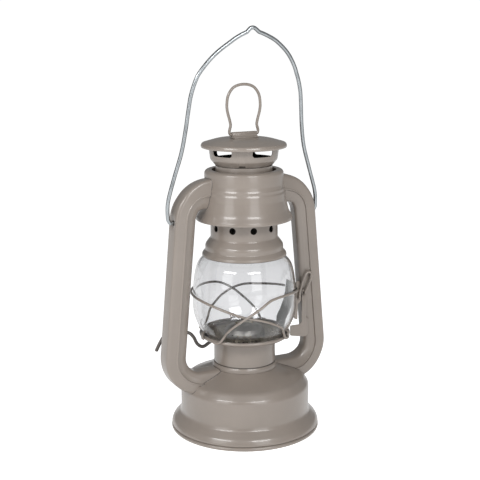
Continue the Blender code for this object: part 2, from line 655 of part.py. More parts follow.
def make_tubes(paint):
    shell = [(r + GAP, z + (GAP if z > SKIRT_TOP else 0.0)) for r, z in rounded(fount_corners())[:-1]]
    ring = RING_R + GAP
    fount = turned("fount clearance", [(0.0, 0.0), *shell, (ring, dome_height(ring) + GAP), (ring, 52.0),
                                       (0.0, 52.0)], None)
    flare = [(r + GAP, z) for r, z in rounded(canopy_corners())]
    top = turned("canopy clearance", [(0.0, CANOPY_LOW), *flare, (0.0, CANOPY_TOP)], None)
    for side, name in ((-1, "side_tube_left"), (1, "side_tube_right")):
        mesh = bmesh.new()
        outer = add_rings(mesh, tube_rings(side, 0.0))
        inner = add_rings(mesh, tube_rings(side, SHEET))
        for end in (0, -1):
            for k in range(len(outer[end])):
                n = (k + 1) % len(outer[end])
                mesh.faces.new((outer[end][k], outer[end][n], inner[end][n], inner[end][k]))
        tube = finish(name, mesh, paint)
        cut(tube, fount)
        cut(tube, top)
        hole = prism("bail hole", circle(BAIL_HOLE_R, 10, (0.0, BAIL_Z)), side * 50.0, side * 60.0, None,
                     along_x)
        cut(tube, hole)


# ---------- bail ----------

def bail_sway(share):
    """Sideways shift of the bent arch at a share of its height."""
    peak = max(0.0, 1 - abs(share - 0.93) / 0.17)
    return BAIL_SWAY * max(0.0, sin(pi * share)) * (1 - share) + BAIL_PEAK_SWAY * peak


def make_bail(steel):
    """Wire handle with a pointed top; its hooked ends turn in the side tubes."""
    reach = [(57.6, 1.6), (58.1, 4.2), (57.2, 15.0), (52.8, 32.0), (47.7, 48.5), (45.0, 64.0),
             (43.4, 78.0), (41.9, 88.5), (38.4, 99.5), (33.5, 108.0), (26.6, 116.0), (16.9, 123.2),
             (9.6, 128.2), (4.2, 129.7)]
    arch = [(BAIL_PIN_X + 5.8, 0.1), *reach]
    half = [(p.x, p.y) for p in smooth([(x, s, 0.0) for x, s in arch], 2)] + [(1.2, 132.4)]
    line = [(BAIL_PIN_X, 0.0), (BAIL_PIN_X + 3.6, 0.0)] + half
    line = line + [(-x, s) for x, s in reversed(line)]
    top = max(s for x, s in line)
    points = [(x + bail_sway(s / top), -s * sin(BAIL_LEAN), BAIL_Z + s * cos(BAIL_LEAN)) for x, s in line]
    bail = wire("bail", points, BAIL_WIRE, steel)
    body("bail_turn", (0.0, 0.0, BAIL_Z), bail)


# ---------- whole lantern ----------

def main():
    clear_scene()
    paint = material("taupe paint", (0.34, 0.30, 0.265), 0.32)
    galvanised = material("galvanised steel", (0.56, 0.58, 0.59), 0.32, 1.0)
    steel = material("plain steel", (0.33, 0.31, 0.29), 0.4, 0.9)
    brass = material("brass", (0.55, 0.42, 0.2), 0.35, 1.0)
    rubber = material("rubber", (0.03, 0.03, 0.03), 0.8)
    cotton = material("cotton", (0.75, 0.71, 0.6), 0.95)
    glass = material("clear glass", (0.85, 0.88, 0.9), 0.03, 0.0, 0.35)

    bores = {side: tube_bore("tube bore foot", side, 28.0) for side in (-1, 1)}
    top_bores = {side: tube_bore("tube bore top", side, TUBE_END_X) for side in (-1, 1)}
    make_fount(paint, steel, brass, rubber, bores.values())
    collar = make_collar(paint)
    make_burner(collar, steel, brass, cotton)
    globe_pieces = make_globe(paint, glass)
    guards = make_guard(paint)
    strap, tab = make_lift(paint)
    chimney = make_chimney(paint)
    make_canopy(paint, steel, top_bores.values())
    make_tubes(paint)
    make_bail(galvanised)
    body("globe_carrier", (0.0, 0.0, PLATE_Z), *globe_pieces, *guards, strap, tab)
    body("chimney", (0.0, 0.0, CROWN_LIP_Z), *chimney)


main()
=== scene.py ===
"""Looks of the hurricane lantern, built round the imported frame.

Millimetres until a mesh is made, +Z up. Sizes come from the frame's own boxes, and the numbers
beside them are the small shapes that the frame leaves plain: beads, fillets, seams and ribs.
Angles are counted from +X, so the front, -Y, is at -90 degrees.
"""
import json
from math import acos, atan2, cos, hypot, pi, radians, sin, tan

import bmesh
import bpy
from mathutils import Matrix, Vector


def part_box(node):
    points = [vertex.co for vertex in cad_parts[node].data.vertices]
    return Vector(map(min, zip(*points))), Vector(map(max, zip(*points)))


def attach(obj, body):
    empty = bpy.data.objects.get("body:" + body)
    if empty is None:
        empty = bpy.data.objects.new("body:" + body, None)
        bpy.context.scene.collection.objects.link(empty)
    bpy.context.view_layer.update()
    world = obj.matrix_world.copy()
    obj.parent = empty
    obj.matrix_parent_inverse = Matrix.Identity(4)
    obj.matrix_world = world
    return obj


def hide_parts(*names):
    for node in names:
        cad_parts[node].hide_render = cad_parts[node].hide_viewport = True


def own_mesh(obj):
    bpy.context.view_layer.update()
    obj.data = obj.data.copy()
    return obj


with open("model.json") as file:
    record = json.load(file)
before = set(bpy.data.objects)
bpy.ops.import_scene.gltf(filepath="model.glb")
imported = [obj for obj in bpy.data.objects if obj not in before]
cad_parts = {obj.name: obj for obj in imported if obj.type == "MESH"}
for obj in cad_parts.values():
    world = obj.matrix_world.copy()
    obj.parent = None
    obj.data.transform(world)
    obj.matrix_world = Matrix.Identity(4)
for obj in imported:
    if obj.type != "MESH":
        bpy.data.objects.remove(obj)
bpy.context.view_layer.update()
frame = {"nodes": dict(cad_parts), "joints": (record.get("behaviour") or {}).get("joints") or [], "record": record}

MM = 0.001
ROUND = 144                   # facets round a turned piece
SHEET = 0.6                   # the frame's sheet metal
THIN = 0.5                    # sheet metal as it is seen, inside the frame's
BODIES = frame["record"]["behaviour"]["bodies"]
BODY_OF = {node: body for body, nodes in BODIES.items() for node in nodes}


def low(node):
    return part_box(node)[0] / MM


def high(node):
    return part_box(node)[1] / MM


def joint_spot(name):
    """Place of a joint."""
    return next(Vector(joint["pos_m"]) / MM for joint in frame["joints"] if joint["name"] == name)


# ---------- plain geometry ----------

def rounded(corners, steps=8):
    """Corner list (a, b) or (a, b, fillet radius); a fillet becomes an arc of that many steps."""
    line = []
    for i, corner in enumerate(corners):
        if len(corner) == 2:
            line.append(corner)
            continue
        here = Vector(corner[:2])
        back = (Vector(corners[i - 1][:2]) - here).normalized()
        ahead = (Vector(corners[(i + 1) % len(corners)][:2]) - here).normalized()
        half = acos(max(-1.0, min(1.0, back.dot(ahead)))) / 2
        reach = corner[2] / tan(half)
        middle = here + (back + ahead).normalized() * corner[2] / sin(half)
        start, end = here + back * reach - middle, here + ahead * reach - middle
        first = atan2(start.y, start.x)
        sweep = (atan2(end.y, end.x) - first + pi) % (2 * pi) - pi
        for k in range(steps + 1):
            angle = first + sweep * k / steps
            line.append((middle.x + corner[2] * cos(angle), middle.y + corner[2] * sin(angle)))
    return line


def arc(centre, radius, start, end, steps=10):
    """Points on a circle, from one angle in degrees to another."""
    angles = [radians(start + (end - start) * k / steps) for k in range(steps + 1)]
    return [(centre[0] + radius * cos(a), centre[1] + radius * sin(a)) for a in angles]


def circle(centre, radius, corners=24):
    return arc(centre, radius, 0, 360 - 360 / corners, corners - 1)


def inset(line, depth):
    """Line moved to its left by depth, with mitred corners."""
    normals = []
    for (a, b), (c, d) in zip(line, line[1:]):
        length = hypot(c - a, d - b)
        normals.append(Vector((-(d - b) / length, (c - a) / length)))
    moved = []
    for (a, b), before, after in zip(line, [normals[0]] + normals, normals + [normals[-1]]):
        shift = (before + after) * depth / (1 + before.dot(after))
        moved.append((max(0.0, a + shift.x), b + shift.y))
    return moved


def sheet(line, thickness=THIN):
    """Closed outline of a sheet whose outer side is this line, read from bottom to top."""
    return line + inset(line, thickness)[::-1]


def smooth(points, per_span):
    """Catmull-Rom curve through the points."""
    points = [Vector(p) for p in points]
    last = len(points) - 1
    line = []
    for i in range(last):
        a, b, c, d = (points[min(max(i + k, 0), last)] for k in (-1, 0, 1, 2))
        for k in range(per_span):
            t = k / per_span
            line.append(0.5 * (2 * b + (c - a) * t + (2 * a - 5 * b + 4 * c - d) * t * t
                               + (3 * b - a - 3 * c + d) * t ** 3))
    return line + [points[-1]]


def smooth_line(points, per_span=6):
    """Catmull-Rom curve through flat (a, b) points."""
    return [(p.x, p.y) for p in smooth([(a, b, 0.0) for a, b in points], per_span)]


def polar(radius, degrees, height=0.0):
    return (radius * cos(radians(degrees)), radius * sin(radians(degrees)), height)


def bump(x, half, edge):
    """1 within half of zero, falling to 0 over edge."""
    t = min(1.0, max(0.0, (half + edge - abs(x)) / edge))
    return t * t * (3 - 2 * t)


# ---------- objects ----------

def made(name, mesh, finish, smooth_angle=32.0):
    """Object from a bmesh in millimetres."""
    bmesh.ops.remove_doubles(mesh, verts=mesh.verts, dist=1e-5)
    bmesh.ops.recalc_face_normals(mesh, faces=mesh.faces)
    bmesh.ops.scale(mesh, vec=(MM, MM, MM), verts=mesh.verts)
    data = bpy.data.meshes.new(name)
    mesh.to_mesh(data)
    mesh.free()
    data.shade_smooth()
    data.set_sharp_from_angle(angle=radians(smooth_angle))
    thing = bpy.data.objects.new(name, data)
    if finish:
        data.materials.append(finish)
    bpy.context.collection.objects.link(thing)
    return thing


def add_turned(mesh, outline, segments=ROUND, centre=(0.0, 0.0), shape=None):
    """Closed (radius, height) outline turned about a vertical line; shape may move each point."""
    rings = []
    for radius, height in outline:
        if radius < 1e-6:
            rings.append([mesh.verts.new((*centre, height))] * segments)
            continue
        ring = []
        for k in range(segments):
            a = 2 * pi * k / segments
            r = radius + (shape(a * 180 / pi, radius, height) if shape else 0.0)
            ring.append(mesh.verts.new((centre[0] + r * cos(a), centre[1] + r * sin(a), height)))
        rings.append(ring)
    for lower, upper in zip(rings, rings[1:] + rings[:1]):
        for k in range(segments):
            n = (k + 1) % segments
            corners = list(dict.fromkeys((lower[k], lower[n], upper[n], upper[k])))
            if len(corners) > 2:
                mesh.faces.new(corners)


def turned(name, outline, finish, segments=ROUND, centre=(0.0, 0.0), shape=None):
    mesh = bmesh.new()
    add_turned(mesh, outline, segments, centre, shape)
    return made(name, mesh, finish)


def add_skin(mesh, rings, closed=False):
    """Skin through rings of points with the same number of corners; returns the vertices."""
    rows = [[mesh.verts.new(p) for p in ring] for ring in rings]
    for lower, upper in zip(rows, rows[1:] + (rows[:1] if closed else [])):
        for k in range(len(lower)):
            n = (k + 1) % len(lower)
            mesh.faces.new((lower[k], lower[n], upper[n], upper[k]))
    return rows


def add_bar(mesh, rings):
    """Skin through the rings, closed at both ends."""
    rows = add_skin(mesh, rings)
    mesh.faces.new(rows[0])
    mesh.faces.new(rows[-1])


def add_drill(mesh, radius, degrees, height, size, length, corners=24):
    """Round bar that points outwards from a radius, to cut a hole in a turned wall."""
    side = Vector(polar(1.0, degrees + 90))
    rim = [Vector(polar(radius, degrees, height)) + side * a + Vector((0, 0, b))
           for a, b in circle((0, 0), size, corners)]
    add_bar(mesh, [rim, [p + Vector(polar(length, degrees)) for p in rim]])


def wire(name, points, radius, finish, sides=16, closed=False):
    """Round wire along the points; its ends are rounded, or it runs back into itself."""
    points = [Vector(p) for p in points]
    count = len(points)
    ahead = []
    for i in range(count):
        if closed:
            step = points[(i + 1) % count] - points[i - 1]
        else:
            step = points[min(i + 1, count - 1)] - points[max(i - 1, 0)]
        ahead.append(step.normalized())
    side = ahead[0].orthogonal().normalized()
    sides_at = [side]
    for a, b in zip(ahead, ahead[1:]):
        side = a.rotation_difference(b) @ side
        side = (side - b * side.dot(b)).normalized()
        sides_at.append(side)
    twist = 0.0
    if closed:
        last = ahead[-1].rotation_difference(ahead[0]) @ sides_at[-1]
        twist = atan2(last.cross(sides_at[0]).dot(ahead[0]), last.dot(sides_at[0]))

    def ring(i, scale=1.0, push=0.0):
        across = Matrix.Rotation(twist * i / count, 3, ahead[i]) @ sides_at[i]
        up = ahead[i].cross(across)
        middle = points[i] + ahead[i] * push
        angles = [2 * pi * k / sides for k in range(sides)]
        return [middle + (across * cos(a) + up * sin(a)) * (radius * scale) for a in angles]

    rings = [ring(i) for i in range(count)]
    mesh = bmesh.new()
    if closed:
        add_skin(mesh, rings, closed=True)
    else:
        caps = [(0.92, 0.2), (0.7, 0.4), (0.35, 0.5)]     # radius and reach past the end, in radii
        front = [ring(0, s, -p * radius) for s, p in reversed(caps)]
        back = [ring(count - 1, s, p * radius) for s, p in caps]
        add_bar(mesh, front + rings + back)
    return made(name, mesh, finish, 60.0)


def plate(name, outline, start, end, finish, spot, edge=0.12, holes=()):
    """Flat sheet piece with softened edges and round holes: outline (a, b) from start to end."""
    mesh = bmesh.new()
    loops = []
    for level in (start, end):
        loops.append([mesh.verts.new(spot(a, b, level)) for a, b in outline])
    mesh.faces.new(loops[0])
    mesh.faces.new(loops[1])
    for k in range(len(outline)):
        n = (k + 1) % len(outline)
        mesh.faces.new((loops[0][k], loops[0][n], loops[1][n], loops[1][k]))
    thing = made(name, mesh, finish)
    for number, (centre, radius) in enumerate(holes):
        rim = circle(centre, radius)
        cut(thing, plate(f"{name} hole {number}", rim, start - 3, end + 3, None, spot, 0.0))
    if edge:
        soften(thing, edge)
    return thing


def along_y(a, b, level):
    return (a, level, b)


def along_x(a, b, level):
    return (level, a, b)


def apply_modifiers(thing):
    """Bake the modifiers into the mesh."""
    graph = bpy.context.evaluated_depsgraph_get()
    data = bpy.data.meshes.new_from_object(thing.evaluated_get(graph))
    thing.modifiers.clear()
    thing.data = data


def cut(target, cutter):
    """Take the cutter's shape out of the target and throw the cutter away."""
    modifier = target.modifiers.new("cut", "BOOLEAN")
    modifier.operation = "DIFFERENCE"
    modifier.solver = "EXACT"
    modifier.object = cutter
    apply_modifiers(target)
    bpy.data.objects.remove(cutter, do_unlink=True)
    target.data.shade_smooth()
    target.data.set_sharp_from_angle(angle=radians(32))


def soften(thing, width):
    """Round the sharp edges of a piece."""
    modifier = thing.modifiers.new("soften", "BEVEL")
    modifier.width = width * MM
    modifier.segments = 2
    modifier.limit_method = "ANGLE"
    modifier.angle_limit = radians(40)
    modifier.harden_normals = False
    apply_modifiers(thing)
    thing.data.shade_smooth()
    thing.data.set_sharp_from_angle(angle=radians(50))


def second_finish(thing, finish, chosen):
    """Give a second finish to the faces that chosen(point in millimetres, normal) picks."""
    thing.data.materials.append(finish)
    for face in thing.data.polygons:
        if chosen(face.center / MM, face.normal):
            face.material_index = 1


def stand_for(piece, node):
    """The piece is seen in place of a CAD node and moves with that node's body."""
    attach(piece, BODY_OF[node])
    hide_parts(node)
    return piece


def belong(piece, body):
    """An added detail that moves with a body."""
    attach(piece, body)
    return piece


# ---------- materials ----------

def shader_of(name):
    """New material, with its node tree and its shader."""
    finish = bpy.data.materials.new(name)
    finish.use_nodes = True
    tree = finish.node_tree
    return finish, tree, tree.nodes["Principled BSDF"]


def noise(tree, scale, detail=4.0, roughness=0.55, stretch=(1.0, 1.0, 1.0)):
    """Noise over the object, its scale in features per metre."""
    place = tree.nodes.new("ShaderNodeTexCoord")
    size = tree.nodes.new("ShaderNodeMapping")
    size.inputs["Scale"].default_value = stretch
    made_noise = tree.nodes.new("ShaderNodeTexNoise")
    made_noise.inputs["Scale"].default_value = scale
    made_noise.inputs["Detail"].default_value = detail
    made_noise.inputs["Roughness"].default_value = roughness
    tree.links.new(place.outputs["Object"], size.inputs["Vector"])
    tree.links.new(size.outputs["Vector"], made_noise.inputs["Vector"])
    return made_noise.outputs["Fac"]


def ramp(tree, value, stops):
    """Colour ramp over a value; stops are (position, colour)."""
    node = tree.nodes.new("ShaderNodeValToRGB")
    while len(node.color_ramp.elements) < len(stops):
        node.color_ramp.elements.new(0.5)
    for element, (position, colour) in zip(node.color_ramp.elements, stops):
        element.position = position
        element.color = (*colour, 1.0)
    tree.links.new(value, node.inputs["Fac"])
    return node.outputs["Color"]


def spread(tree, value, start, end, lowest=0.3, highest=0.7):
    """A value carried from lowest..highest to start..end."""
    node = tree.nodes.new("ShaderNodeMapRange")
    node.inputs["From Min"].default_value = lowest
    node.inputs["From Max"].default_value = highest
    node.inputs["To Min"].default_value = start
    node.inputs["To Max"].default_value = end
    tree.links.new(value, node.inputs["Value"])
    return node.outputs["Result"]


def relief(tree, shader, layers):
    """Bumps, each (height, strength, distance in metres), one over the other."""
    before = None
    for height, strength, distance in layers:
        node = tree.nodes.new("ShaderNodeBump")
        node.inputs["Strength"].default_value = strength
        node.inputs["Distance"].default_value = distance
        tree.links.new(height, node.inputs["Height"])
        if before:
            tree.links.new(before, node.inputs["Normal"])
        before = node.outputs["Normal"]
    tree.links.new(before, shader.inputs["Normal"])


def tone(colour, factor):
    return tuple(c * factor for c in colour)


def painted(name, colour):
    """Sprayed satin paint: faint mottling, orange peel, and a roughness that drifts."""
    roughness = 0.34
    finish, tree, shader = shader_of(name)
    cloud = noise(tree, 38.0, 5.0)
    stops = [(0.3, tone(colour, 0.95)), (0.52, colour), (0.72, tone(colour, 1.05))]
    tree.links.new(ramp(tree, cloud, stops), shader.inputs["Base Color"])
    drift = spread(tree, noise(tree, 90.0, 4.0), roughness - 0.05, roughness + 0.06)
    tree.links.new(drift, shader.inputs["Roughness"])
    shader.inputs["Specular IOR Level"].default_value = 0.5
    shader.inputs["Coat Weight"].default_value = 0.65
    shader.inputs["Coat Roughness"].default_value = 0.13
    relief(tree, shader, [(noise(tree, 150.0, 1.0, 0.4), 0.06, 0.0006)])
    return finish


def bare_metal(name, colour, roughness, streak, metallic=1.0):
    """Bare metal with drawn or spun streaks and dull patches."""
    finish, tree, shader = shader_of(name)
    patches = noise(tree, 120.0, 6.0, 0.6)
    stops = [(0.28, tone(colour, 0.72)), (0.5, colour), (0.75, tone(colour, 1.12))]
    tree.links.new(ramp(tree, patches, stops), shader.inputs["Base Color"])
    lines = noise(tree, 420.0, 5.0, 0.65, streak)
    tree.links.new(spread(tree, lines, roughness - 0.08, roughness + 0.12), shader.inputs["Roughness"])
    shader.inputs["Metallic"].default_value = metallic
    relief(tree, shader, [(lines, 0.12, 0.0002), (patches, 0.08, 0.0004)])
    return finish


def clear_glass():
    """Blown glass, slightly uneven."""
    finish, tree, shader = shader_of("clear glass")
    shader.inputs["Base Color"].default_value = (0.950, 0.953, 0.962, 1.0)
    shader.inputs["Roughness"].default_value = 0.015
    shader.inputs["IOR"].default_value = 1.47
    shader.inputs["Transmission Weight"].default_value = 1.0
    relief(tree, shader, [(noise(tree, 32.0, 2.0, 0.4, (1.0, 1.0, 0.45)), 0.03, 0.0012)])
    return finish


def woven_cotton():
    """Flat woven wick."""
    finish, tree, shader = shader_of("woven cotton")
    place = tree.nodes.new("ShaderNodeTexCoord")
    weave = tree.nodes.new("ShaderNodeTexWave")
    weave.inputs["Scale"].default_value = 700.0
    weave.inputs["Distortion"].default_value = 1.5
    tree.links.new(place.outputs["Object"], weave.inputs["Vector"])
    tree.links.new(ramp(tree, weave.outputs["Fac"], [(0.1, (0.42, 0.38, 0.3)), (0.8, (0.76, 0.72, 0.62))]),
                   shader.inputs["Base Color"])
    shader.inputs["Roughness"].default_value = 0.92
    relief(tree, shader, [(weave.outputs["Fac"], 0.5, 0.0003)])
    return finish


def black_rubber():
    finish, tree, shader = shader_of("black rubber")
    grain = noise(tree, 900.0, 3.0)
    tree.links.new(ramp(tree, grain, [(0.3, (0.018, 0.018, 0.018)), (0.7, (0.04, 0.04, 0.038))]),
                   shader.inputs["Base Color"])
    tree.links.new(spread(tree, grain, 0.7, 0.85), shader.inputs["Roughness"])
    relief(tree, shader, [(grain, 0.2, 0.0001)])
    return finish


def painted_inner_shade_finish():
    """Inside of the flue painted near-black: painted shade on the inner faces, with a faint random grain."""
    finish, tree, shader = shader_of("painted shade inside")
    grain = noise(tree, 160.0, 5.0, 0.6)
    tree.links.new(ramp(tree, grain, [(0.3, (0.012, 0.011, 0.010)), (0.72, (0.030, 0.027, 0.024))]),
                   shader.inputs["Base Color"])
    tree.links.new(spread(tree, grain, 0.72, 0.9), shader.inputs["Roughness"])
    shader.inputs["Specular IOR Level"].default_value = 0.2
    relief(tree, shader, [(grain, 0.15, 0.0002)])
    return finish


TAUPE = (0.252, 0.216, 0.187)
paint = painted("taupe paint", TAUPE)
# dark taupe: the crank's own colour and the dark solder seams, and also painted shade in the collar's groove
dark_paint_and_groove_shade = painted("dark taupe paint and painted groove shade", tone(TAUPE, 0.45))
galvanised = bare_metal("galvanised wire", (0.40, 0.425, 0.44), 0.27, (1.0, 1.0, 0.12))
zinc = bare_metal("galvanised strip", (0.18, 0.188, 0.17), 0.48, (1.0, 1.0, 0.3))
dish_metal = bare_metal("smoked dish", (0.37, 0.325, 0.26), 0.36, (1.0, 1.0, 0.2), 0.8)
steel = bare_metal("plain steel", (0.36, 0.345, 0.32), 0.38, (1.0, 1.0, 0.3), 0.9)
brass = bare_metal("brass", (0.56, 0.43, 0.21), 0.3, (0.4, 0.4, 1.0))
glass = clear_glass()
cotton = woven_cotton()
rubber = black_rubber()
# near-black finish for inner faces: painted shade, not the paint's colour
painted_inner_shade = painted_inner_shade_finish()


# ---------- fount ----------

BASE_R, COLLAR_R = high("fount_shell").x, high("air_collar").x
WALL_R = high("fuel_plate").x + 0.9       # the plate stands inside the wall
SHOULDER_Z, DOME_SLOPE = 37.5, 0.352


def dome_height(radius):
    """Height of the fount's sloping top."""
    return SHOULDER_Z + DOME_SLOPE * (WALL_R - radius)


def fount_line():
    """Outer side of the fount: rolled bead, groove, flared skirt, wall, shoulder and dome."""
    bead = 1.45
    mouth = COLLAR_R + 0.1
    skirt = rounded([(BASE_R - 1.2, 3.05), (BASE_R - 0.25, 3.75, 0.35), (BASE_R - 0.75, 6.7, 8.0),
                     (WALL_R, 13.3, 5.0), (WALL_R, SHOULDER_Z - 4.8, 5.0),
                     (WALL_R - 4.2, SHOULDER_Z + 0.4, 7.0), (mouth, dome_height(mouth))], 12)
    return arc((BASE_R - bead, bead), bead, -92, 84, 14) + skirt


def make_fount():
    stand_for(turned("fount_shell_fine", sheet(fount_line()), paint), "fount_shell")
    base, top, edge = low("fount_bottom").z, high("fount_bottom").z, high("fount_bottom").x
    ribs = rounded([(0, base), (edge * 0.42, base), (edge * 0.45, base + 0.5, 0.6),
                    (edge * 0.75, base + 0.5, 0.6), (edge * 0.78, base, 0.4), (edge - 3, base, 1.0),
                    (edge, base - 0.5, 0.3), (edge, top - 0.6), (edge - 3, top), (0, top)], 5)
    stand_for(turned("fount_bottom_fine", ribs, steel), "fount_bottom")


def make_filler():
    """Knurled screw cap behind the collar, with a rolled edge."""
    lowest, highest = low("filler_cap"), high("filler_cap")
    centre = ((lowest.x + highest.x) / 2, (lowest.y + highest.y) / 2)
    radius = (highest.x - lowest.x) / 2
    top, bottom = highest.z, lowest.z
    knurl_top, knurl_low, knurls, knurl_depth = top - 1.4, bottom + 1.1, 48, 0.32
    wall, hollow = 1.5, 5.0

    def knurl(degrees, r, z):
        outside = r > radius - 0.6 and knurl_low < z < knurl_top
        return -knurl_depth * (0.5 + 0.5 * cos(radians(degrees * knurls))) if outside else 0.0

    heights = [knurl_low - 0.01, knurl_low + 0.3, (knurl_low + knurl_top) / 2, knurl_top - 0.3,
               knurl_top + 0.01]
    side = [(radius - wall, bottom), (radius - 0.3, bottom)] + [(radius, z) for z in heights]
    head = rounded([(radius, heights[-1]), (radius, top, 1.1), (radius * 0.72, top, 0.3),
                    (radius * 0.68, top - 0.5, 0.3), (0, top - 0.5)], 5)
    inner = [(0, bottom + hollow), (radius - wall, bottom + hollow)]
    cap = turned("filler_cap_fine", side + head[1:] + inner, brass, 192, centre, knurl)
    stand_for(cap, "filler_cap")


def make_collar():
    """Air collar with a lip at its head, and a ring and a groove at its foot; the groove's faces are painted dark
    as painted shade.
    """
    foot, head = low("air_collar").z, high("air_collar").z
    bottom, top, groove, groove_head = dome_height(COLLAR_R), high("collar_ring").z + 0.3, 0.45, 0.8
    line = [(COLLAR_R, foot), (COLLAR_R, top), (COLLAR_R - groove, top + 0.1),
            (COLLAR_R - groove, top + 0.7), (COLLAR_R, top + groove_head), (COLLAR_R, head - 0.9),
            (COLLAR_R + 0.1, head - 0.4), (COLLAR_R, head)]
    collar = turned("air_collar_fine", sheet(line), paint)
    # the groove's outer faces take the dark taupe: painted shade in the gap above the ring
    second_finish(collar, dark_paint_and_groove_shade,
                  lambda p, n: top < p.z < top + groove_head and hypot(p.x, p.y) > COLLAR_R - 0.5)
    crank, hole_radius = joint_spot("wick_turn"), 1.9
    ends = [crank + Vector(polar(along, WICK_ANGLE)) for along in (14.0, 30.0)]
    cut(collar, wire("crank hole", ends, hole_radius, None, 24))
    stand_for(collar, "air_collar")
    edge = COLLAR_R + 1.1
    ring = rounded([(COLLAR_R + 0.05, bottom), (edge - 0.4, dome_height(edge), 0.1),
                    (edge, dome_height(edge) + 0.7, 0.3), (edge, top - 1.4, 0.9),
                    (COLLAR_R + 0.4, top, 0.4), (COLLAR_R + 0.05, top)], 8)
    stand_for(turned("collar_ring_fine", ring, paint), "collar_ring")


# ---------- burner ----------

WICK_ANGLE = 160.0


def wick_frame(along, side, height):
    """Point given along the crank's direction, to its right, and by height."""
    u, v = cos(radians(WICK_ANGLE)), sin(radians(WICK_ANGLE))
    return (along * u + side * v, along * v - side * u, height)


def make_burner_cone():
    """Cone inside the dish, with a slot for the wick and two rows of holes."""
    bottom, top, radius = low("burner_cone").z, high("burner_cone").z, high("burner_cone").x
    line = rounded([(radius, bottom), (radius - 0.1, bottom + 4.0, 3.0), (radius - 2.0, bottom + 6.6, 2.0),
                    (7.0, top - 1.6, 5.0), (0.0, top)], 8)
    cone = turned("burner_cone_fine", sheet(line), steel, 96)
    long, wide = 6.6, 2.6
    slot = [(-long, -wide), (long, -wide), (long, wide), (-long, wide)]
    cut(cone, plate("cone slot", slot, 66.0, 90.0, None, wick_frame, 0.0))
    mesh = bmesh.new()
    holes, size = 20, 0.6
    for row, z in enumerate((bottom + 1.6, bottom + 3.6)):
        for k in range(holes):
            add_drill(mesh, radius - 4, 360 * (k + 0.5 * row) / holes, z, size, 8.0, 12)
    cut(cone, made("cone holes", mesh, None))
    stand_for(cone, "burner_cone")


def make_crank():
    """Bent wire from the wick's wheels out through the collar."""
    start = (-5.0, 64.8)
    route = [(8.0, 64.8), (21.5, 64.8), (25.5, 62.4), (30.4, 59.4), (34.4, 61.6), (37.2, 67.0),
             (40.8, 70.3), (47.0, 70.8), (54.5, 70.4), (58.6, 68.2), (61.6, 63.4), (64.4, 57.6)]
    side = 3.3
    line = [wick_frame(a, side, z) for a, z in [start] + smooth_line(route, 8)]
    stand_for(wire("wick_crank_fine", line, 1.25, dark_paint_and_groove_shade, 20), "wick_crank")


# ---------- globe, dish and guard ----------

GLOBE_FOOT, GLOBE_HEAD = low("globe").z, high("globe").z
PLATE_R, PLATE_Z, PLATE_TOP = high("globe_plate").x, low("globe_plate").z, high("globe_plate").z
GLOBE_POINTS = [(29.5, GLOBE_FOOT), (30.0, 71.2), (32.4, 75.3), (35.4, 81.6), (37.1, 88.5), (37.4, 96.0),
                (37.0, 106.0), (36.0, 114.5), (34.3, 121.5), (31.9, 125.6), (29.3, 127.9), (27.5, 129.6),
                (27.1, GLOBE_HEAD)]


def globe_radius(height):
    """Outer radius of the glass at a height."""
    for (r0, z0), (r1, z1) in zip(GLOBE_POINTS, GLOBE_POINTS[1:]):
        if height <= z1:
            return r0 + (r1 - r0) * max(0.0, height - z0) / (z1 - z0)
    return GLOBE_POINTS[-1][0]


def make_globe():
    outline = sheet(smooth_line(GLOBE_POINTS), 1.5)
    stand_for(turned("globe_fine", outline, glass, 160), "globe")


def make_dish():
    """Perforated floor, the step that holds the glass, and a curled rim; smoked round the burner."""
    curl, floor, hole, smoked = 1.15, PLATE_Z + SHEET, 15.2, 27.2
    rim = arc((PLATE_R - curl, PLATE_TOP - curl), curl, -50, 215, 18)
    outer = rounded([(hole, PLATE_Z), (26.5, PLATE_Z, 1.0), (PLATE_R - 1.9, PLATE_Z + 0.1, 1.2), rim[0]], 6)
    inner = rounded([rim[-1], (PLATE_R - 2.9, floor + 0.3, 0.5), (26.4, floor, 0.3), (hole, floor)], 4)
    dish = turned("globe_plate_fine", outer[:-1] + rim + inner[1:], paint)
    mesh = bmesh.new()
    holes, bottom, top = 36, PLATE_Z - 1, floor + 1
    for row, (radius, size) in enumerate(((18.4, 0.75), (21.8, 0.85), (25.0, 0.75))):
        for k in range(holes):
            x, y, _ = polar(radius, 360 * (k + 0.5 * (row % 2)) / holes)
            add_turned(mesh, [(0, bottom), (size, bottom), (size, top), (0, top)], 12, (x, y))
    cut(dish, made("dish holes", mesh, None))
    second_finish(dish, dish_metal, lambda p, n: n.z > 0.2 and hypot(p.x, p.y) < smoked)
    stand_for(dish, "globe_plate")


def make_clip(node):
    """Bent tongue on the dish's rim, narrower at its tip."""
    bottom, top = low(node), high(node)
    degrees = atan2((bottom.y + top.y) / 2, (bottom.x + top.x) / 2) * 180 / pi
    path = [(PLATE_R + 0.2, bottom.z), (PLATE_R + 0.5, bottom.z + 2.2), (PLATE_R + 0.4, top.z - 1.6),
            (PLATE_R - 0.6, top.z)]
    rings = []
    for r, z in smooth_line(path, 5):
        half = 3.2 if z < top.z - 1.4 else 2.2            # degrees
        corners = ((0, -half), (0, half), (SHEET, half), (SHEET, -half))
        rings.append([polar(r + d, degrees + w, z) for d, w in corners])
    mesh = bmesh.new()
    add_bar(mesh, rings)
    clip = made(f"{node}_fine", mesh, paint)
    soften(clip, 0.12)
    stand_for(clip, node)


def guard_point(degrees, height, lift):
    """Centre of a guard wire that hugs the glass, lifted off it where it passes over another."""
    radius = max(globe_radius(height), PLATE_R) + 1.3 + lift
    return polar(radius, degrees, height)


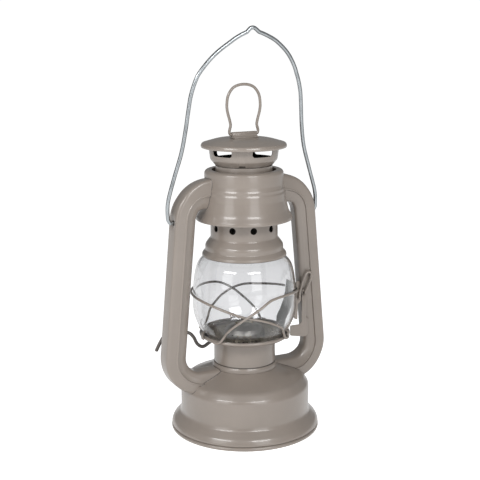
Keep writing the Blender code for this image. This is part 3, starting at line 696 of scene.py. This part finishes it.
def make_guard():
    """Wire loop that rises to the left, and two wires that rise from the rim to the lift strap."""
    lower = [(-52, 70.9), (-59, 72.0), (-68, 80.0), (-94, 88.6), (-116, 92.2), (-138, 96.6), (-160, 99.8),
             (-182, 101.2), (-205, 101.8), (-232, 101.8), (-256, 101.0), (-270, 98.6), (-283, 93.6),
             (-294, 87.6), (-304, 82.0), (-313, 76.6), (-318, 71.6), (-324, 70.9)]
    front = [(-156, 70.9), (-147, 71.6), (-136, 80.0), (-122, 88.4), (-111, 93.8), (-100, 98.6),
             (-87, 103.2), (-70, 104.6), (-48, 104.0), (-32, 102.8), (-20.5, 102.2)]
    back = [(9.5, 99.9), (24, 98.9), (45, 97.6), (66, 96.0), (82, 92.0), (99, 86.0), (113, 80.0),
            (124, 73.8), (131, 71.0), (137, 70.9)]

    def over(degrees, centre, half):
        """Smooth step out, to pass over another wire."""
        reach = abs((degrees - centre + 180) % 360 - 180) / half
        return max(0.0, 1 - reach * reach) if reach < 1 else 0.0

    for node, route, crossing in (("guard_wire_lower", lower, None), ("guard_wire_front", front, -114),
                                  ("guard_wire_back", back, 74)):
        points = []
        for degrees, height in smooth_line(route):
            lift = 2.3 * over(degrees, crossing, 26) if crossing else 0.0
            points.append(guard_point(degrees, height, lift))
        stand_for(wire(f"{node}_fine", points, 0.9, paint, 14), node)


# ---------- globe lift ----------

PIVOT = (joint_spot("lever_turn").x, joint_spot("lever_turn").z)
CRANK, CRANK_START = 5.4, radians(207.0)
PIN = (PIVOT[0] + CRANK * cos(CRANK_START), PIVOT[1] + CRANK * sin(CRANK_START))
TAB_NEAR, TAB_FAR = low("lift_tab").y, high("lift_tab").y
PIN_HOLE_R = 1.35


def make_strap():
    """Ribbed strap up the glass, which leans round it towards the front, bare on its inner side."""
    foot, head, half = 4.0, -7.0, 11.5                    # degrees
    bend, bend_rise = 78.0, 26.0
    bottom, top = low("lift_strap").z, high("lift_strap").z
    steps, across = 44, 16
    mesh = bmesh.new()
    layers = []
    for thickness in (0.0, SHEET):
        grid = []
        for i in range(steps + 1):
            z = bottom + (top - bottom) * i / steps
            middle = foot + (head - foot) * max(0.0, z - bend) / bend_rise
            row = []
            for j in range(across + 1):
                s = 2 * j / across - 1
                rib = 0.35 * bump(abs(s) - 0.62, 0.06, 0.16) * bump(z - (bottom + top) / 2, 12.0, 3.0)
                radius = max(globe_radius(z) + 0.75, PLATE_R + 0.3) + thickness + rib
                row.append(mesh.verts.new(polar(radius, middle + half * s, z)))
            grid.append(row)
        layers.append(grid)
    inner, outer = layers
    for i in range(steps):
        for j in range(across):
            for grid in layers:
                mesh.faces.new((grid[i][j], grid[i][j + 1], grid[i + 1][j + 1], grid[i + 1][j]))
        for j in (0, across):
            mesh.faces.new((inner[i][j], inner[i + 1][j], outer[i + 1][j], outer[i][j]))
    for i in (0, steps):
        for j in range(across):
            mesh.faces.new((inner[i][j], inner[i][j + 1], outer[i][j + 1], outer[i][j]))
    strap = made("lift_strap_fine", mesh, paint)
    soften(strap, 0.1)
    second_finish(strap, zinc, lambda p, n: n.x * p.x + n.y * p.y < 0)
    stand_for(strap, "lift_strap")


def make_tab():
    corners = [(37.2, 77.5, 0.6), (40.2, 76.0, 0.8), (40.4, 88.0, 2.0), (43.0, 90.6, 1.2),
               (43.0, 100.5, 1.5), (41.6, 105.4, 0.8), (38.8, 105.4, 0.4), (38.8, 88.0, 2.0)]
    tab = plate("lift_tab_fine", rounded(corners, 5), TAB_NEAR, TAB_FAR, paint, along_y, 0.14,
                [(PIN, PIN_HOLE_R)])
    stand_for(tab, "lift_tab")


def make_bracket():
    corners = [(34.2, 64.6, 1.2), (49.0, 61.8, 3.0), (49.6, 75.8, 1.2), (47.4, 77.0, 1.6),
               (47.6, 99.0, 1.8), (44.0, 99.0, 1.6), (43.8, 74.0, 1.2), (42.2, 72.4, 1.6),
               (34.2, 72.4, 1.2)]
    bracket = plate("lever_bracket_fine", rounded(corners, 5), TAB_NEAR, TAB_FAR, paint, along_y, 0.14,
                    [(PIVOT, PIN_HOLE_R)])
    stand_for(bracket, "lever_bracket")


def make_lever():
    """Wire thumb lever: a loop whose two ends turn in the bracket and in the tab."""
    level = low("lift_lever").y + 1.0
    back = level + 3.8

    def hook(x, z):
        """From the end of the wire round to the loop."""
        return [(x, back, z), (x, level + 1.4, z), (x, level + 0.4, z + 0.4)]

    loop = [(PIN[0], level, PIN[1] + 2.2), (41.6, level, 99.6), (43.4, level, 105.4), (45.8, level, 110.4),
            (48.6, level, 112.0), (50.6, level, 109.6), (49.4, level, 105.0), (47.2, level, 100.4),
            (PIVOT[0], level, PIVOT[1] + 2.0)]
    line = hook(*PIN) + smooth(loop, 7) + hook(*PIVOT)[::-1]
    stand_for(wire("lift_lever_fine", line, 1.0, paint, 16), "lift_lever")


# ---------- chimney ----------

CROWN_LIP_R, CROWN_LIP_Z, CROWN_TOP = high("crown").x, low("crown").z, high("crown").z - SHEET
CROWN_R = CROWN_LIP_R - 6.4
NECK_R = high("chimney_neck").x


def facing_axis(p, n):
    """True on the inner side of a turned piece, where the near-black painted shade goes."""
    return n.x * p.x + n.y * p.y < -0.2 * hypot(p.x, p.y) or n.z < -0.7


def make_crown():
    """Perforated crown that flares down over the glass."""
    line = rounded([(CROWN_LIP_R - 0.5, CROWN_LIP_Z + 0.1), (CROWN_LIP_R, CROWN_LIP_Z + 0.5, 0.3),
                    (CROWN_LIP_R - 0.3, 130.7, 1.0), (28.0, 133.2, 1.0), (28.0, 137.0, 4.5),
                    (CROWN_R + 0.1, 142.2, 2.2), (CROWN_R, CROWN_TOP, 2.6),
                    (NECK_R + 0.1, CROWN_TOP + 0.5)], 10)
    crown = turned("crown_fine", sheet(line), paint)
    mesh = bmesh.new()
    holes, start, size, z = 10, 8.0, 2.4, 150.0
    for k in range(holes):
        add_drill(mesh, CROWN_R - 3, start + 360 * k / holes, z, size, 6.0)
    cut(crown, made("crown holes", mesh, None))
    # inner faces painted near-black: painted shade
    second_finish(crown, painted_inner_shade, facing_axis)
    stand_for(crown, "crown")


def make_neck():
    foot, head = low("chimney_neck").z, high("chimney_neck").z
    neck = turned("chimney_neck_fine", sheet([(NECK_R, foot), (NECK_R, head)]), paint)
    # inner faces painted near-black: painted shade
    second_finish(neck, painted_inner_shade, facing_axis)
    stand_for(neck, "chimney_neck")


WINDOWS = ((-155.5, 201.2), (-82.5, 201.2), (24.5, 197.9), (97.5, 197.9))      # middle, low edge


def make_window_ring():
    """Ring with four windows under the hood, a lapped seam on its front post."""
    foot, head = low("window_ring").z, high("window_ring").z
    line = rounded([(18.6, foot), (20.3, foot, 0.3), (23.8, 197.8, 3.2), (24.9, 206.5), (25.2, head)], 10)
    dense = []
    for (r0, z0), (r1, z1) in zip(line, line[1:]):
        parts = max(1, round(hypot(r1 - r0, z1 - z0) / 0.6))
        dense += [(r0 + (r1 - r0) * k / parts, z0 + (z1 - z0) * k / parts) for k in range(parts)]
    dense.append(line[-1])
    seam, rear_seam, height = -119.0, 61.0, 0.38

    def lap(degrees, r, z):
        if r < 20.9:
            return 0.0
        near = min(abs((degrees - at + 180) % 360 - 180) for at in (seam, rear_seam))
        return height * bump(near, 5.6, 0.9) * bump(z - 202.5, 7.4, 1.0)

    ring = turned("window_ring_fine", sheet(dense), paint, 300, shape=lap)
    span, top, corner = 24.0 * sin(radians(20.0)), head - 2.8, 2.0
    for middle, edge in WINDOWS:
        outline = rounded([(-span, edge, corner), (span, edge, corner),
                           (span, top, 0.6), (-span, top, 0.6)], 6)

        def outwards(a, b, c):
            return Vector(polar(c, middle, b)) + a * Vector(polar(1.0, middle + 90.0))

        cut(ring, plate("window cutter", outline, 12.0, 30.0, None, outwards, 0.0))
    # inner faces painted near-black, so the windows look black: painted shade
    second_finish(ring, painted_inner_shade, facing_axis)
    stand_for(ring, "window_ring")


EYE_R = 1.8
EYE_Z = high("ring_tab").z - EYE_R


def make_hood():
    """Shallow lid with a rolled edge."""
    radius, edge, top = high("hood").x, low("hood").z - 0.6, high("hood").z
    line = rounded([(radius - 1.2, edge + 0.2), (radius - 0.2, edge, 0.5), (radius, edge + 1.5, 1.2),
                    (radius - 0.7, edge + 3.1, 1.6), (19.0, top - 0.7, 32.0), (0.0, top)], 10)
    hood = turned("hood_fine", sheet(line), paint)
    # underside painted near-black: painted shade under the hood
    second_finish(hood, painted_inner_shade, lambda p, n: n.z < -0.2 and hypot(p.x, p.y) < radius - 1.8)
    stand_for(hood, "hood")


def make_ring_tab():
    """Tab on the hood, rolled into the eye that holds the ring."""
    base, half = low("ring_tab").z, high("ring_tab").x
    bore = 1.25
    front = [(-4.7, base - 0.6), (3.4, base - 0.6), (3.3, base + 0.3), (1.7, base + 0.6)]
    back = [(-2.3, base + 0.9), (-3.4, base + 0.35), (-4.7, base + 0.02)]
    outline = front + arc((0.0, EYE_Z), EYE_R, -25, 190, 18) + back
    tab = plate("ring_tab_fine", outline, -half, half, paint, along_x, 0.0)
    cut(tab, plate("eye bore", circle((0.0, EYE_Z), bore), -half - 3, half + 3, None, along_x, 0.0))
    soften(tab, 0.12)
    stand_for(tab, "ring_tab")


def make_ring():
    """Pear-shaped wire ring whose straight foot lies in the eye."""
    side = [(11.2, 1.6), (11.0, 3.3), (10.2, 6.5), (11.0, 10.5), (12.5, 15.9), (12.95, 20.9), (11.9, 27.1),
            (8.4, 32.1), (3.2, 34.3)]
    loop = side + [(-x, z) for x, z in reversed(side)]
    arch = [(x, 0.0, z + EYE_Z) for x, z in smooth_line(loop)]
    foot = [(-10.6, 0.0, EYE_Z + 0.2), (-9.9, 0.0, EYE_Z), (0.0, 0.0, EYE_Z), (9.9, 0.0, EYE_Z),
            (10.6, 0.0, EYE_Z + 0.2)]
    ring = wire("lift_ring_fine", arch + foot, 1.0, paint, 16, closed=True)
    stand_for(ring, "lift_ring")


# ---------- canopy and side tubes ----------

CANOPY_TOP, CANOPY_LOW, CANOPY_RIM_R = high("canopy").z, low("canopy").z, high("canopy").x
CANOPY_R, CANOPY_HOLE_R = 28.1, 22.7


def canopy_line():
    """Outer side of the canopy: flared rim, bell, bead and rolled head."""
    return rounded([(CANOPY_RIM_R - 0.1, CANOPY_LOW + 0.2), (CANOPY_RIM_R, CANOPY_LOW + 0.9, 0.4),
                    (34.2, 157.2, 1.2), (31.7, 161.4, 12.0), (29.9, 169.5, 8.0), (29.5, 174.3, 0.4),
                    (28.95, 175.6, 0.4), (28.95, 177.4, 0.4), (28.45, 178.6, 0.4), (CANOPY_R, 180.5, 3.0),
                    (CANOPY_R, CANOPY_TOP, 2.6), (CANOPY_HOLE_R, CANOPY_TOP, 0.5),
                    (CANOPY_HOLE_R, CANOPY_TOP - 2.2)], 9)


def outline_radius(line, height):
    """Radius of an outer side at a height."""
    for (r0, z0), (r1, z1) in zip(line, line[1:]):
        if z0 <= height <= z1:
            return r0 + (r1 - r0) * (height - z0) / max(1e-6, z1 - z0)
    return 0.0


BEND_R, TUBE_DEEP, TUBE_WIDE, TUBE_END_X = 19.2, 8.0, 7.3, 20.0
LOWER_BEND = (high("side_tube_right").x - BEND_R - TUBE_DEEP, 58.3)
UPPER_BEND = (28.0, 156.5)


def tube_route():
    """Centre line (x, z, heading) of the right side tube, from the fount to the canopy."""
    lean = (LOWER_BEND[0] - UPPER_BEND[0]) / (UPPER_BEND[1] - LOWER_BEND[1])
    tilt = atan2(lean, 1.0)
    steps = 30
    route = [(TUBE_END_X + k, LOWER_BEND[1] - BEND_R, 0.0) for k in range(0, 16)]
    for k in range(steps + 1):
        turn = (pi / 2 + tilt) * k / steps
        route.append((LOWER_BEND[0] + BEND_R * sin(turn), LOWER_BEND[1] - BEND_R * cos(turn), turn))
    first, turn = route[-1], pi / 2 + tilt
    second = (UPPER_BEND[0] + BEND_R * sin(turn), UPPER_BEND[1] - BEND_R * cos(turn))
    straight = 90
    for k in range(1, straight):
        t = k / straight
        route.append((first[0] + (second[0] - first[0]) * t, first[1] + (second[1] - first[1]) * t, turn))
    for k in range(steps + 1):
        turn = pi / 2 + tilt + (pi / 2 - tilt) * k / steps
        route.append((UPPER_BEND[0] + BEND_R * sin(turn), UPPER_BEND[1] - BEND_R * cos(turn), turn))
    route += [(UPPER_BEND[0] - k, UPPER_BEND[1] + BEND_R, pi) for k in range(1, 9)]
    return route


def tube_section():
    """Two pressed halves: a full outer one, a seam ridge, and a narrower inner one that tapers."""
    half = rounded([(-1.0, 0.0), (-1.0, 0.96, 0.32), (-0.07, 0.97, 0.04), (-0.03, 1.03, 0.02),
                    (0.05, 1.03, 0.02), (0.08, 0.88, 0.04), (0.5, 0.82, 0.5), (1.0, 0.64, 0.42),
                    (1.0, 0.0)], 6)
    return half + [(u, -w) for u, w in reversed(half[1:-1])]


def tube_rings(side, shrink):
    """Section corners at each stop of the centre line, made smaller by shrink all round."""
    foot_wider, top_narrower, top_deeper, top_drop = 2.8, 1.0, 3.0, 1.2
    rings = []
    for x, z, turn in tube_route():
        foot = max(0.0, 1 - turn / radians(70))
        top = max(0.0, (turn - radians(130)) / radians(50))
        z -= top_drop * top
        deep = TUBE_DEEP + top_deeper * top - shrink
        wide = TUBE_WIDE + foot_wider * foot * foot * (3 - 2 * foot) - top_narrower * top - shrink
        out = sin(turn), -cos(turn)
        rings.append([Vector((side * (x - out[0] * u * deep), w * wide, z - out[1] * u * deep))
                      for u, w in tube_section()])
    return rings


def trim(rings, inside, start):
    """Pull the ends of the lines that run inside a turned body back to its surface."""
    order = list(range(len(rings)))
    if not start:
        order.reverse()
    edge = []
    for k in range(len(rings[0])):
        last = 0
        while last < len(order) and inside(rings[order[last]][k]):
            last += 1
        a, b = rings[order[max(0, last - 1)]][k].copy(), rings[order[last]][k].copy()
        for _ in range(18):
            middle = (a + b) / 2
            if inside(middle):
                a = middle
            else:
                b = middle
        for i in order[:last]:
            rings[i][k] = b.copy()
        edge.append(b)
    return edge


def make_tubes():
    """Side tubes, dished round the bail's holes, and the solder where each end meets its wall."""
    fount, dome = fount_line(), canopy_line()
    pin_z = joint_spot("bail_swing").z
    sunk, dimple = 0.12, 1.1

    def in_fount(p):
        r = hypot(p.x, p.y)
        if r < COLLAR_R + 1.3 and p.z < high("collar_ring").z + 2:
            return True
        return p.z < SHOULDER_Z + 12 and outline_radius(fount, p.z) > r + sunk

    def in_canopy(p):
        return p.z > CANOPY_LOW + 5 and outline_radius(dome, p.z) > hypot(p.x, p.y) + sunk

    for side, node in ((-1, "side_tube_left"), (1, "side_tube_right")):
        skins, seams = [], []
        for shrink in (0.0, SHEET):
            rings = tube_rings(side, shrink)
            seams.append((trim(rings, in_fount, True), trim(rings, in_canopy, False)))
            skins.append(rings)
        mesh = bmesh.new()
        outer, inner = (add_skin(mesh, rings) for rings in skins)
        for end in (0, -1):
            for k in range(len(outer[end])):
                n = (k + 1) % len(outer[end])
                mesh.faces.new((outer[end][k], outer[end][n], inner[end][n], inner[end][k]))
        for v in mesh.verts:
            if side * v.co.x > 50:
                v.co.x -= side * dimple * bump(hypot(v.co.y, v.co.z - pin_z), 1.2, 4.6)
        tube = made(f"{node}_fine", mesh, paint)
        cut(tube, wire("bail hole", [(side * x, 0.0, pin_z) for x in (49.0, 62.0)], 1.9, None, 24))
        stand_for(tube, node)
        for name, edge in zip(("foot_solder", "head_solder"), seams[0]):
            line = [p for k, p in enumerate(edge) if (p - edge[k - 1]).length > 0.05]
            belong(wire(f"{node}_{name}", line, 0.4, dark_paint_and_groove_shade, 10, closed=True), "root")


def make_canopy():
    stand_for(turned("canopy_fine", sheet(canopy_line()), paint), "canopy")


def make_spring():
    """Coil inside the canopy, drawn at rest; the rising chimney would squash it."""
    globe_travel = 4.9        # the crown rises this far with the globe before it presses the spring
    radius, thick = 23.5, 0.6
    lowest = low("chimney_spring").z + thick + globe_travel
    highest = high("chimney_spring").z - thick
    turns, steps = 3, 144
    coil = [polar(radius, 360 * turns * k / steps, lowest + (highest - lowest) * k / steps)
            for k in range(steps + 1)]
    spring = stand_for(wire("chimney_spring_fine", coil, thick, steel, 12), "chimney_spring")
    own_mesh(spring)


# ---------- bail ----------

def make_bail():
    """Wire handle with a pointed top, a little out of true; its hooked ends turn in the side tubes."""
    z0, lean, sway, peak_sway, pin_x = 156.3, radians(4.5), -2.8, 3.2, 51.0
    reach = [(57.7, 1.6), (58.4, 4.2), (57.8, 15.0), (52.8, 32.0), (47.7, 48.5), (45.0, 64.0),
             (43.4, 78.0), (41.9, 88.5), (38.4, 99.5), (33.5, 108.0), (26.6, 116.0), (16.9, 123.5),
             (9.8, 127.4), (4.6, 129.5)]
    peak = [(3.0, 131.0), (1.5, 132.2), (0.5, 132.45)]
    half = [(pin_x, 0.0), (pin_x + 2.0, 0.0), (pin_x + 3.6, 0.0)]
    half += smooth_line([(pin_x + 5.8, 0.1)] + reach) + peak
    line = half + [(-x, s) for x, s in reversed(half)]
    top = max(s for x, s in line)

    def shift(share):
        """Sideways shift of the bent arch at a share of its height."""
        return (sway * max(0.0, sin(pi * share)) * (1 - share)
                + peak_sway * max(0.0, 1 - abs(share - 0.93) / 0.17))

    points = [(x + shift(s / top), -s * sin(lean), z0 + s * cos(lean)) for x, s in line]
    stand_for(wire("bail_fine", points, 1.4, galvanised, 20), "bail")


# ---------- hidden CAD nodes ----------

def finish_frame():
    """Finishes for the CAD nodes that no finer piece stands for, nearly all hidden inside."""
    finishes = {"fuel_plate": steel, "filler_neck": brass, "filler_gasket": rubber, "burner_body": brass,
                "burner_seat": steel, "burner_gallery": steel, "wick_tube": brass, "wick": cotton,
                "wick_wheel_1": brass, "wick_wheel_2": brass}
    for node, finish in finishes.items():
        data = frame["nodes"][node].data
        data.materials.clear()
        data.materials.append(finish)


# ---------- studio ----------

def make_camera():
    """Long lens, a little above the lantern, from its front left."""
    distance, height, aside = 0.735, 0.298, 0.003         # metres
    around, down, roll = radians(26.0), radians(12.2), radians(-0.28)
    data = bpy.data.cameras.new("camera")
    data.sensor_width = 36.0
    data.lens = 78.75
    camera = bpy.data.objects.new("camera", data)
    bpy.context.collection.objects.link(camera)
    spot = Vector((-distance * sin(around) - aside * cos(around),
                   -distance * cos(around) + aside * sin(around), height))
    aim = (Matrix.Rotation(-around, 4, "Z") @ Matrix.Rotation(pi / 2 - down, 4, "X")
           @ Matrix.Rotation(roll, 4, "Z"))
    camera.matrix_world = Matrix.Translation(spot) @ aim
    bpy.context.scene.camera = camera


def softbox(name, around, up, size, strength):
    """Area light that faces the lantern; angles in degrees."""
    distance, aim = 1.1, Vector((0.0, 0.0, 0.12))
    data = bpy.data.lights.new(name, "AREA")
    data.shape = "RECTANGLE"
    data.size, data.size_y = size
    data.energy = strength
    lamp = bpy.data.objects.new(name, data)
    bpy.context.collection.objects.link(lamp)
    flat = cos(radians(up))
    away = Vector((cos(radians(around)) * flat, sin(radians(around)) * flat, sin(radians(up))))
    spot = aim + away * distance
    lamp.matrix_world = Matrix.Translation(spot) @ (spot - aim).to_track_quat("Z", "Y").to_matrix().to_4x4()


def make_studio():
    """A two-part softbox on each side, and a pale floor and a surround that light dimly but look white."""
    front, white = -116.0, (1.0, 1.0, 1.0, 1.0)
    for name, around in (("left", front - 40.0), ("right", front + 27.5)):
        softbox(f"softbox {name}", around, 37.0, (0.54, 0.24), 4.2)
        softbox(f"softbox {name} apron", around, 12.0, (0.46, 0.56), 1.7)
    world = bpy.data.worlds.new("surround")
    bpy.context.scene.world = world
    world.use_nodes = True
    tree = world.node_tree
    dim = tree.nodes["Background"]
    dim.inputs["Color"].default_value = white
    dim.inputs["Strength"].default_value = 0.25
    bright = tree.nodes.new("ShaderNodeBackground")
    bright.inputs["Color"].default_value = white
    bright.inputs["Strength"].default_value = 1.05
    path = tree.nodes.new("ShaderNodeLightPath")
    mix = tree.nodes.new("ShaderNodeMixShader")
    tree.links.new(path.outputs["Is Camera Ray"], mix.inputs["Fac"])
    tree.links.new(dim.outputs["Background"], mix.inputs[1])
    tree.links.new(bright.outputs["Background"], mix.inputs[2])
    tree.links.new(mix.outputs["Shader"], tree.nodes["World Output"].inputs["Surface"])

    finish, tree, shader = shader_of("pale floor")
    stops = [(0.3, (0.86, 0.86, 0.86)), (0.7, (0.89, 0.89, 0.89))]
    tree.links.new(ramp(tree, noise(tree, 3.0, 3.0), stops), shader.inputs["Base Color"])
    shader.inputs["Roughness"].default_value = 0.9
    shader.inputs["Emission Color"].default_value = white
    seen = tree.nodes.new("ShaderNodeLightPath").outputs["Is Camera Ray"]
    tree.links.new(spread(tree, seen, 0.38, 0.80, 0.0, 1.0), shader.inputs["Emission Strength"])
    mesh = bmesh.new()
    bmesh.ops.create_grid(mesh, x_segments=2, y_segments=2, size=20000.0)
    floor = made("floor", mesh, finish)
    bpy.context.scene.view_settings.view_transform = "Standard"


make_camera()
make_studio()
make_fount()
make_filler()
make_collar()
make_burner_cone()
make_crank()
make_globe()
make_dish()
for number in (1, 2, 3):
    make_clip(f"globe_clip_{number}")
make_guard()
make_strap()
make_tab()
make_bracket()
make_lever()
make_crown()
make_neck()
make_window_ring()
make_hood()
make_ring_tab()
make_ring()
make_canopy()
make_spring()
make_tubes()
make_bail()
finish_frame()
